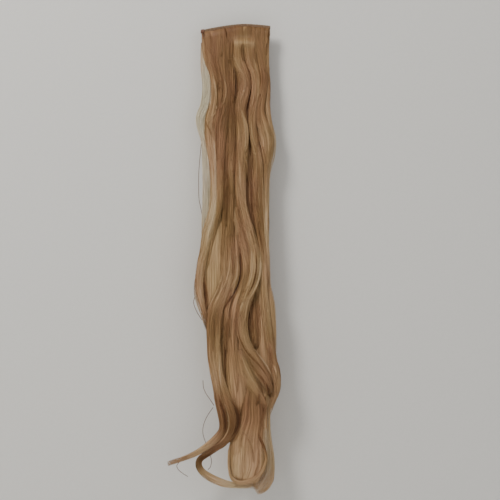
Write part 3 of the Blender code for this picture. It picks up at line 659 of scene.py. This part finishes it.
def place(x, down, forward):
    """Points x right of the clip's middle, down from the band's top line and forward of the
    clip's back, with the band's arch and the clip's bump worked in."""
    arch = arch_drop(x) * (1 - smooth_step((down - BAND_HEIGHT) / ARCH_FADE))
    z = BAND_TOP - down - arch
    bump = np.where(down > BAND_HEIGHT, clip_bump(x, z), 0)
    return np.stack(np.broadcast_arrays(x, -forward - bump, z), axis=-1)


def hair_down(share):
    """How far under the band's top this share of the fall lies, in percent."""
    start = BAND_HEIGHT + GAP
    return start + share / 100 * (HAIR_LENGTH - start)


def hair_across(share):
    return BAND_MIDDLE + share / 100 * BAND_WIDTH


def hair_depth(share):
    """The hair's thickness at this share of its fall."""
    downs, depths = zip(*((row[0], row[3]) for row in BACKING))
    return np.interp(share, downs, depths) / 100 * HAIR_DEPTH


def hair_middle(share):
    """How far the middle of the hair's thickness stands forward of the clip's back."""
    back = CLIP_THICKNESS + GAP + HAIR_DRIFT * smooth_step(share / 100)
    return back + hair_depth(share) / 2


def on_curve(p, q, r, s, t):
    """The place at share t of the way from q to r, on the smooth curve through all four."""
    cubic = (3 * q - p - 3 * r + s) * t**3 + (2 * p - 5 * q + 4 * r - s) * t**2
    return (cubic + (r - p) * t + 2 * q) / 2


def smooth_rows(rows):
    """The rows and more between them, on one smooth curve."""
    rows = np.array(rows, float)
    padded = np.vstack([rows[:1], rows, rows[-1:]])
    smoothed = []
    for p, q, r, s in zip(padded, padded[1:], padded[2:], padded[3:]):
        fall = (r[0] - q[0]) / 100 * HAIR_LENGTH
        run = (r[1] - q[1]) / 100 * BAND_WIDTH
        count = max(round(math.hypot(fall, run) / ROW_STEP), 1)
        smoothed.append(on_curve(p, q, r, s, np.arange(count)[:, None] / count))
    return np.vstack([*smoothed, rows[-1:]])


def waves(rng, count, travel, lengths):
    """Soft random waves along travel, a row for each strand, from about -1 to 1."""
    total = np.zeros((count, travel.shape[-1]))
    for length in lengths:
        phase = rng.uniform(0, 2 * math.pi, (count, 1))
        pace = rng.uniform(*WAVE_PACES, (count, 1)) * 2 * math.pi / length
        total += np.sin(travel * pace + phase)
    return total / len(lengths)


def skin_points(rng, count):
    """Points spread evenly round a lock's outside, most of them on its front."""
    index = np.arange(count)
    across = (index * GOLDEN_ANGLE / (2 * math.pi)) % 1 * 2 - 1
    side = np.where(rng.uniform(0, 1, count) < FRONT_STRANDS, 1, -1)
    deep = side * np.sqrt(1 - across**2)
    return np.stack([across, deep], axis=1) * rng.uniform(*SKIN_SPREAD, (count, 1))


def sheet_points(rng, count):
    """Points spread evenly over a thin sheet."""
    across = (np.arange(count) + rng.uniform(*SHEET_SPREAD, count)) / count * 2 - 1
    return np.stack([across, rng.uniform(-1, 1, count)], axis=1)


Course = namedtuple("Course", "line section tones edges")
Tubes = namedtuple("Tubes", "corners tone along")


def frame_of(line):
    """The way a course heads at each point, in x and down, and the distance between points."""
    heading = np.gradient(line[:, :2], axis=0)
    heading /= np.linalg.norm(heading, axis=1)[:, None]
    return heading, np.linalg.norm(np.diff(line[:, :2], axis=0), axis=1)


def stations(line):
    """Places along a course, closer together where it bends and over the clip's edge."""
    heading, steps = frame_of(line)
    turns = np.linalg.norm(np.diff(heading, axis=0), axis=1)
    crest = BAND_TOP - CLIP_LOW.z + BUMP_DROP
    edge = np.exp(-(((line[1:, 1] - crest) / (2 * BUMP_SPREAD)) ** 2))
    edge = np.where(abs(line[1:, 0]) < CLIP_HIGH.x + BUMP_SPREAD, edge, 0)
    spacing = steps * (1 + BUMP_POINTS * edge) + BEND_STEP * turns
    travelled = np.concatenate([[0], np.cumsum(spacing)])
    points = max(round(travelled[-1] / POINT_STEP), FEWEST_STEPS) + 1
    return np.interp(np.linspace(0, travelled[-1], points), travelled, np.arange(len(line)))


def along_course(way, rows):
    """A course's x, down, forward, heading, half width, half depth and tones at these rows."""
    columns = np.column_stack([way.line, frame_of(way.line)[0], way.section, way.tones, way.edges])
    return [np.interp(rows, np.arange(len(columns)), column) for column in columns.T]


def comb(rng, count, way, spread=skin_points, loose=1.0, gathered=GATHER, ragged=RAGGED,
         width=STRAND_WIDTH):
    """Strands down a course. They gather into wisps, and wander from their line, loose times as
    far as those of a lock."""
    places = stations(way.line)
    ends = 1 - ragged * rng.uniform(0, 1, (count, 1)) ** 2
    starts = 0 if way.line[0, 1] < BAND_HEIGHT else ragged * rng.uniform(0, 1, (count, 1))
    last = len(way.line) - 1
    rows = places[None] * (ends - starts) + starts * last
    x, down, forward, over, fall, half, thick, tones, edges = along_course(way, rows)
    travelled = np.concatenate([[0], np.cumsum(frame_of(way.line)[1])])
    travel = np.interp(rows, np.arange(last + 1), travelled)
    own = spread(rng, count)
    wisps = max(count // WISP_STRANDS, 2)
    middles = spread(rng, wisps)
    home = np.argmin(((own[:, None] - middles[None]) ** 2).sum(2), axis=1)
    gather = gathered * (1 + waves(rng, wisps, travel[:1], GATHER_WAVES)[home])
    drift = WISP_WANDER * waves(rng, wisps, travel[:1], WISP_WAVES)[home]
    drift += STRAND_WANDER * waves(rng, count, travel, STRAND_WAVES)
    sway = STRAND_WANDER * waves(rng, count, travel, DEPTH_WAVES)
    free = smooth_step(travel / FREE_LENGTH) * loose
    gather = gather * smooth_step(travel / GATHER_LENGTH)
    wide = own[:, :1] * (1 - gather) + middles[home][:, :1] * gather
    deep = own[:, 1:] * (1 - gather) + middles[home][:, 1:] * gather
    aside = wide * half + free * drift
    points = place(x + aside * fall, down - aside * over, forward + deep * thick + free * sway)
    own_tones = WISP_TONES * rng.normal(size=wisps)[home] + STRAND_TONES * rng.normal(size=count)
    # Towards a course's edges the tone turns to its edge tone, which for locks and veils is painted shade
    edge = np.minimum(abs(own[:, :1]), 1) ** EDGE_POWER
    tones = tones * (1 - edge) + edges * edge + own_tones[:, None]
    share = np.linspace(0, 1, len(places))
    thinned = smooth_step(1 - share / ROOT_TAPER) + smooth_step(1 - (1 - share) / TIP_TAPER)
    radius = np.broadcast_to(width / 2 * (1 - TAPER * thinned), tones.shape)
    return Tubes(tubes(points, radius, STRAND_SIDES), tones[..., None], share)


def core(way):
    """The closed form inside a lock, which its strands lie on. It starts and ends thin, apart
    from where it starts inside the band."""
    places = stations(way.line)
    share = np.linspace(0, 1, len(places))
    size = smooth_step((1 - share) / CORE_END)
    if way.line[0, 1] > BAND_HEIGHT:
        size = size * smooth_step(share / CORE_START)
    size = CORE_SHARE * np.maximum(size, CORE_THIN)[:, None]
    x, down, forward, over, fall, half, thick, tones, edges = along_course(way, places[:, None])
    angle = 2 * math.pi * (np.arange(CORE_SIDES) + 0.5) / CORE_SIDES
    aside = size * half * -np.sin(angle)
    points = place(x + aside * fall, down - aside * over, forward - size * thick * np.cos(angle))
    # Painted shade: the core is toned darker towards its sides, and all over
    edge = abs(np.sin(angle)) ** EDGE_POWER
    tones = tones * (1 - edge) + edges * edge + CORE_SHADE
    return Tubes(points[None], tones[None], share)


def lock_course(rows, roundness):
    """A lock's middle line, as rows of x, down and forward, its half widths and half depths, and
    its tones."""
    path = smooth_rows(rows)
    half = path[:, 2] / 100 * BAND_WIDTH
    deep = np.minimum(half * roundness, hair_depth(path[:, 0]) * LOCK_FLATNESS)
    forward = hair_middle(path[:, 0]) + path[:, 3] / 100 * HAIR_DEPTH
    course = np.stack([hair_across(path[:, 1]), hair_down(path[:, 0]), forward], axis=1)
    tones = path[:, 4] / 100
    # The edge tones are painted shade where the lock meets its neighbours
    return Course(course, np.stack([half, deep], axis=1), tones, tones + EDGE_SHADE)


def backing_course():
    path = smooth_rows(BACKING)
    left, right = hair_across(path[:, 1]), hair_across(path[:, 2])
    forward = hair_middle(path[:, 0])
    course = np.stack([(left + right) / 2, hair_down(path[:, 0]), forward], axis=1)
    section = np.stack([(right - left) / 2, hair_depth(path[:, 0]) * BACKING_FLATNESS], axis=1)
    return Course(course, section, path[:, 4] / 100, path[:, 4] / 100)


def rear_rows(name, shift):
    """A front lock's rows turned to the back, as far down as the hair is thick."""
    rows = [row for row in LOCKS[name].rows if row[0] < REAR_END]
    return [(down, across + shift, half, -out * REAR_OUT, REAR_TONE)
            for down, across, half, out, _ in rows]


def from_picture(pixels):
    """The x and down of the photograph's pixels."""
    x, y = np.array(pixels, float).T
    x, z = (x - CLIP_X) * PIXEL, (CLIP_Y - y) * PIXEL
    down = BAND_TOP - z
    for _ in range(ARCH_ROUNDS):
        down = BAND_TOP - z - arch_drop(x) * (1 - smooth_step((down - BAND_HEIGHT) / ARCH_FADE))
    return x, down


def front_over(x, down, ground):
    """How far forward the hair reaches at each place, and the tone of the foremost lock there."""
    line_x, line_down, forward, half, deep, tone = ground.T
    reach = np.hypot(x[:, None] - line_x, down[:, None] - line_down) / half
    height = forward + deep * np.sqrt(np.clip(1 - reach**2, 0, 1))
    height = np.where(reach < 1, height, 0)
    foremost = height.argmax(axis=1)
    share = (down - BAND_HEIGHT - GAP) / (HAIR_LENGTH - BAND_HEIGHT - GAP) * 100
    backing = hair_middle(share) + hair_depth(share) * BACKING_FLATNESS
    return np.maximum(height.max(axis=1), backing), tone[foremost]


def smooth_line(points):
    """The points and more between them, on one smooth curve."""
    points = np.array(points, float)
    padded = np.vstack([2 * points[0] - points[1], points, 2 * points[-1] - points[-2]])
    share = np.arange(LINE_STEPS)[:, None] / LINE_STEPS
    fours = zip(padded, padded[1:], padded[2:], padded[3:])
    return np.vstack([*(on_curve(*four, share) for four in fours), points[-1:]])


def wisp_course(half, tone, points, ground):
    """A wisp's course on top of what lies under it, thin at both ends."""
    x, down = from_picture(smooth_line(points))
    top, below = (running_mean(values) for values in front_over(x, down, ground))
    bow = np.sin(math.pi * np.linspace(BOW_START, 1 - BOW_START, len(x))) ** BOW_POWER
    section = np.stack([half * PIXEL * bow, np.full_like(bow, WISP_DEPTH)], axis=1)
    tones = below + (tone / 100 - below) * bow
    return Course(np.stack([x, down, top + WISP_CLEAR * bow], axis=1), section, tones, below)


def running_mean(values):
    padded = np.pad(values, GROUND_MEAN // 2, mode="edge")
    return np.convolve(padded, np.ones(GROUND_MEAN) / GROUND_MEAN, mode="valid")


def tubes(points, radius, sides):
    """The corners of a tube round each line of points, as (line, point, side, xyz)."""
    heading = np.gradient(points, axis=1)
    heading /= np.linalg.norm(heading, axis=2)[..., None]
    aside = np.cross(heading, (0.0, 1.0, 0.0))
    aside /= np.linalg.norm(aside, axis=2)[..., None] + 1e-9
    ahead = np.cross(aside, heading)
    angle = 2 * math.pi * np.arange(sides) / sides
    ring = (
        np.cos(angle)[:, None] * aside[..., None, :] + np.sin(angle)[:, None] * ahead[..., None, :]
    )
    return points[..., None, :] + ring * radius[..., None, None]


def strand_faces(lines, count, sides):
    """The faces of the tubes, turned outwards, with a cap at each end, by corner number."""
    number = np.arange(lines * count * sides).reshape(lines, count, sides)
    following = np.roll(number, -1, axis=2)
    quads = np.stack(
        [number[:, :-1], number[:, 1:], following[:, 1:], following[:, :-1]], axis=-1,
    ).reshape(-1, 4)
    return quads, number[:, 0], number[:, -1, ::-1]


def strand_columns(first, lines, along, sides, total):
    """The texture map of the tubes: a column for each side, and the length up it."""
    count = len(along)
    column = first + np.arange(lines * sides).reshape(lines, 1, sides, 1)
    across = (column + np.array([1, 1, 0, 0])) / total
    across = np.broadcast_to(across, (lines, count - 1, sides, 4))
    steps = np.stack([along[:-1], along[1:], along[1:], along[:-1]], axis=-1)
    up = np.broadcast_to(steps[None, :, None], (lines, count - 1, sides, 4))
    parts = [np.stack([across, up], axis=-1).reshape(-1, 2)]
    middle = np.repeat((first + (np.arange(lines) + 0.5) * sides) / total, sides)
    parts += [np.stack([middle, np.full_like(middle, end)], axis=-1) for end in (0.0, 1.0)]
    return np.vstack(parts)


def strand_piece(name, bundles, material):
    """One mesh of all the tubes, each corner with its tone, its share of length and its column of
    the texture map."""
    corners, faces, tones, alongs, numbers, columns = [], [], [], [], [], []
    total = sum(bundle.corners.shape[0] * bundle.corners.shape[2] for bundle in bundles)
    first, column = 0, 0
    for grid, tone, along in bundles:
        lines, count, sides = grid.shape[:3]
        quads, roots, ends = strand_faces(lines, count, sides)
        corners.append(grid.reshape(-1, 3))
        faces += (quads + first).tolist() + (roots + first).tolist() + (ends + first).tolist()
        tones.append(np.broadcast_to(tone, (lines, count, sides)).ravel())
        alongs.append(np.tile(np.repeat(along, sides), lines))
        number = column + np.arange(lines * sides).reshape(lines, 1, sides)
        numbers.append(np.broadcast_to(number, (lines, count, sides)).ravel())
        columns.append(strand_columns(column, lines, along, sides, total))
        first += lines * count * sides
        column += lines * sides
    mesh = bpy.data.meshes.new(name)
    mesh.from_pydata(np.vstack(corners).tolist(), [], faces)
    for attribute, values in (("tone", tones), ("along", alongs), ("across", numbers)):
        layer = mesh.attributes.new(attribute, "FLOAT", "POINT")
        layer.data.foreach_set("value", np.concatenate(values).astype(np.float32))
    layer = mesh.uv_layers.new(name="OFBake")
    layer.uv.foreach_set("vector", np.vstack(columns).astype(np.float32).ravel())
    mesh.shade_smooth()
    return add_piece(name, mesh, material)


def add_piece(name, mesh, material):
    piece = bpy.data.objects.new(name, mesh)
    bpy.context.scene.collection.objects.link(piece)
    mesh.materials.append(material)
    return piece


def lone_line(pixels, width, tone, out=0):
    """A stray hair or a thread's end, so far before the middle of the hair beside it."""
    x, down = from_picture(smooth_line(pixels))
    share = 100 * down / HAIR_LENGTH
    points = place(x, down, hair_middle(share) + out)[None]
    radius = np.full(points.shape[:2], width / 2)
    along = np.linspace(0, 1, points.shape[1])
    return Tubes(tubes(points, radius, STRAND_SIDES), np.array([tone]), along)


def make_hair(material):
    """The fall of hair, in pieces by where their locks lie."""
    pieces = {}
    rng = np.random.default_rng(SEED)
    ways = {name: lock_course(lock.rows, lock.roundness) for name, lock in LOCKS.items()}
    for name, lock in LOCKS.items():
        ragged = TIP_RAGGED if lock.piece == "hair_tip" else RAGGED
        strands = comb(rng, lock.strands, ways[name], ragged=ragged)
        pieces.setdefault(lock.piece, []).extend([core(ways[name]), strands])
    backing = backing_course()
    back = [core(backing), comb(rng, BACKING_STRANDS, backing, loose=1.5)]
    for name, (shift, strands) in REAR_LOCKS.items():
        way = lock_course(rear_rows(name, shift), LOCKS[name].roundness)
        back += [core(way), comb(rng, strands, way)]
    pieces["hair_back"] = back
    pieces["hair_veils"] = [
        comb(rng, veil.strands, lock_course(veil.rows, veil.roundness), spread=sheet_points,
             loose=0.6, gathered=0, ragged=0.05, width=VEIL_WIDTH)
        for veil in VEILS.values()
    ]
    ground = np.vstack([
        np.hstack([way.line, way.section, way.tones[:, None]]) for way in ways.values()
    ])
    pieces["hair_wisps"] = [
        comb(rng, max(round(2 * half * PIXEL / WISP_COVER), WISP_FEWEST),
             wisp_course(half, tone, np.reshape(line, (-1, 2)), ground), spread=sheet_points,
             loose=0.3, gathered=0.1, ragged=WISP_RAGGED)
        for half, tone, *line in WISPS
    ]
    pieces["stray_hairs"] = [lone_line(pixels, STRAY_WIDTH, STRAY_TONE) for pixels in STRAY_HAIRS]
    for name, bundles in pieces.items():
        piece = strand_piece(name, bundles, material)
        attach(piece, "root")
        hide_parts("hair_fall")


def wound_thread(left, right, turns, rise, width):
    """A thread wound round the band between left and right, rise clear of its surface."""
    angle = np.linspace(0, 2 * math.pi * turns, TURN_POINTS * turns + 1)
    x = np.linspace(left, right, len(angle))
    wide, deep = (
        np.sign(wave) * abs(wave) ** THREAD_SQUARE for wave in (np.cos(angle), np.sin(angle))
    )
    down = BAND_HEIGHT / 2 + wide * (BAND_HEIGHT / 2 + rise)
    out = deep * (BAND_THICKNESS / 2 + rise)
    points = place(x, np.minimum(down, BAND_HEIGHT), hair_middle(0) + out)[None]
    radius = np.full(points.shape[:2], width / 2)
    share = np.linspace(0, 1, len(angle))
    return Tubes(tubes(points, radius, THREAD_SIDES), np.array([THREAD_TONE]), share)


def make_threads(material):
    """The whip stitches along the band, and the tight turns round its left end with their loose
    ends."""
    stitches = wound_thread(KNOT_RIGHT, BAND_RIGHT - STITCH_END, STITCHES, STITCH_RISE, STITCH_WIDTH)
    knot = wound_thread(BAND_LEFT + KNOT_END, KNOT_RIGHT, KNOT_TURNS, KNOT_RISE, THREAD_WIDTH)
    ends = [lone_line(pixels, THREAD_WIDTH, THREAD_TONE, THREAD_OUT) for pixels in THREAD_ENDS]
    for name, bundles in (("band_stitches", [stitches]), ("knot_thread", [knot, *ends])):
        piece = strand_piece(name, bundles, material)
        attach(piece, "root")


def give_finish(node, material):
    node.data.materials.clear()
    node.data.materials.append(material)


def set_camera():
    """The photograph's view: straight on, from far off."""
    data = bpy.data.cameras.new("camera")
    data.lens = LENS
    data.sensor_width = SENSOR
    data.clip_end = VIEW_END
    camera = bpy.data.objects.new("camera", data)
    width = 2 * IMAGE_MIDDLE * PIXEL
    x = (IMAGE_MIDDLE - CLIP_X) * PIXEL
    z = (CLIP_Y - IMAGE_MIDDLE) * PIXEL
    camera.location = (x, -width * LENS / SENSOR - HAIR_DEPTH, z)
    camera.rotation_euler = (math.pi / 2, 0, 0)
    bpy.context.scene.collection.objects.link(camera)
    bpy.context.scene.camera = camera


def area_light(name, way, distance, size, power, colour):
    """A soft light that shines the given way onto the middle of the hair."""
    data = bpy.data.lights.new(name, "AREA")
    data.shape = "DISK"
    data.size = size
    data.energy = power
    data.color = colour
    light = bpy.data.objects.new(name, data)
    middle = Vector((0, 0, -HAIR_LENGTH / 2))
    light.location = middle - Vector(way).normalized() * distance
    light.rotation_euler = (middle - light.location).to_track_quat("-Z", "Y").to_euler()
    bpy.context.scene.collection.objects.link(light)


def set_lights():
    area_light("key", way=(0.44, 0.57, -0.69), distance=2.0, size=0.6, power=25.5,
               colour=(1.0, 0.985, 0.96))
    area_light("fill", way=(-0.5, 0.8, -0.1), distance=2.5, size=2.0, power=7.2,
               colour=(0.95, 0.975, 1.0))
    world = bpy.data.worlds.new("studio")
    bpy.context.scene.world = world
    world.use_nodes = True
    sky = world.node_tree.nodes["Background"]
    sky.inputs["Color"].default_value = (0.97, 0.98, 1.0, 1)
    sky.inputs["Strength"].default_value = SKY_STRENGTH


def make_stage():
    """The wall behind the hair, and the floor well under it."""
    wall = [
        (-WALL_HALF, WALL_Y, FLOOR_Z), (WALL_HALF, WALL_Y, FLOOR_Z), (WALL_HALF, WALL_Y, WALL_TOP),
        (-WALL_HALF, WALL_Y, WALL_TOP),
    ]
    floor = [
        (FLOOR_HALF * x, FLOOR_HALF * y, FLOOR_Z) for x, y in ((-1, -1), (1, -1), (1, 1), (-1, 1))
    ]
    for name, corners, material in (("wall", wall, plain_wall()), ("floor", floor, pale_floor())):
        mesh = bpy.data.meshes.new(name)
        mesh.from_pydata(corners, [], [(0, 1, 2, 3)])
        piece = add_piece(name, mesh, material)
    bpy.data.objects["wall"].visible_shadow = False


def main():
    set_camera()
    set_lights()
    make_stage()
    make_hair(combed_hair())
    thread = dark_thread()
    make_threads(thread)
    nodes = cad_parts
    give_finish(nodes["weft_band"], sewn_band())
    give_finish(nodes["end_knot"], thread)
    give_finish(nodes["snap_clip"], clip_enamel())


main()
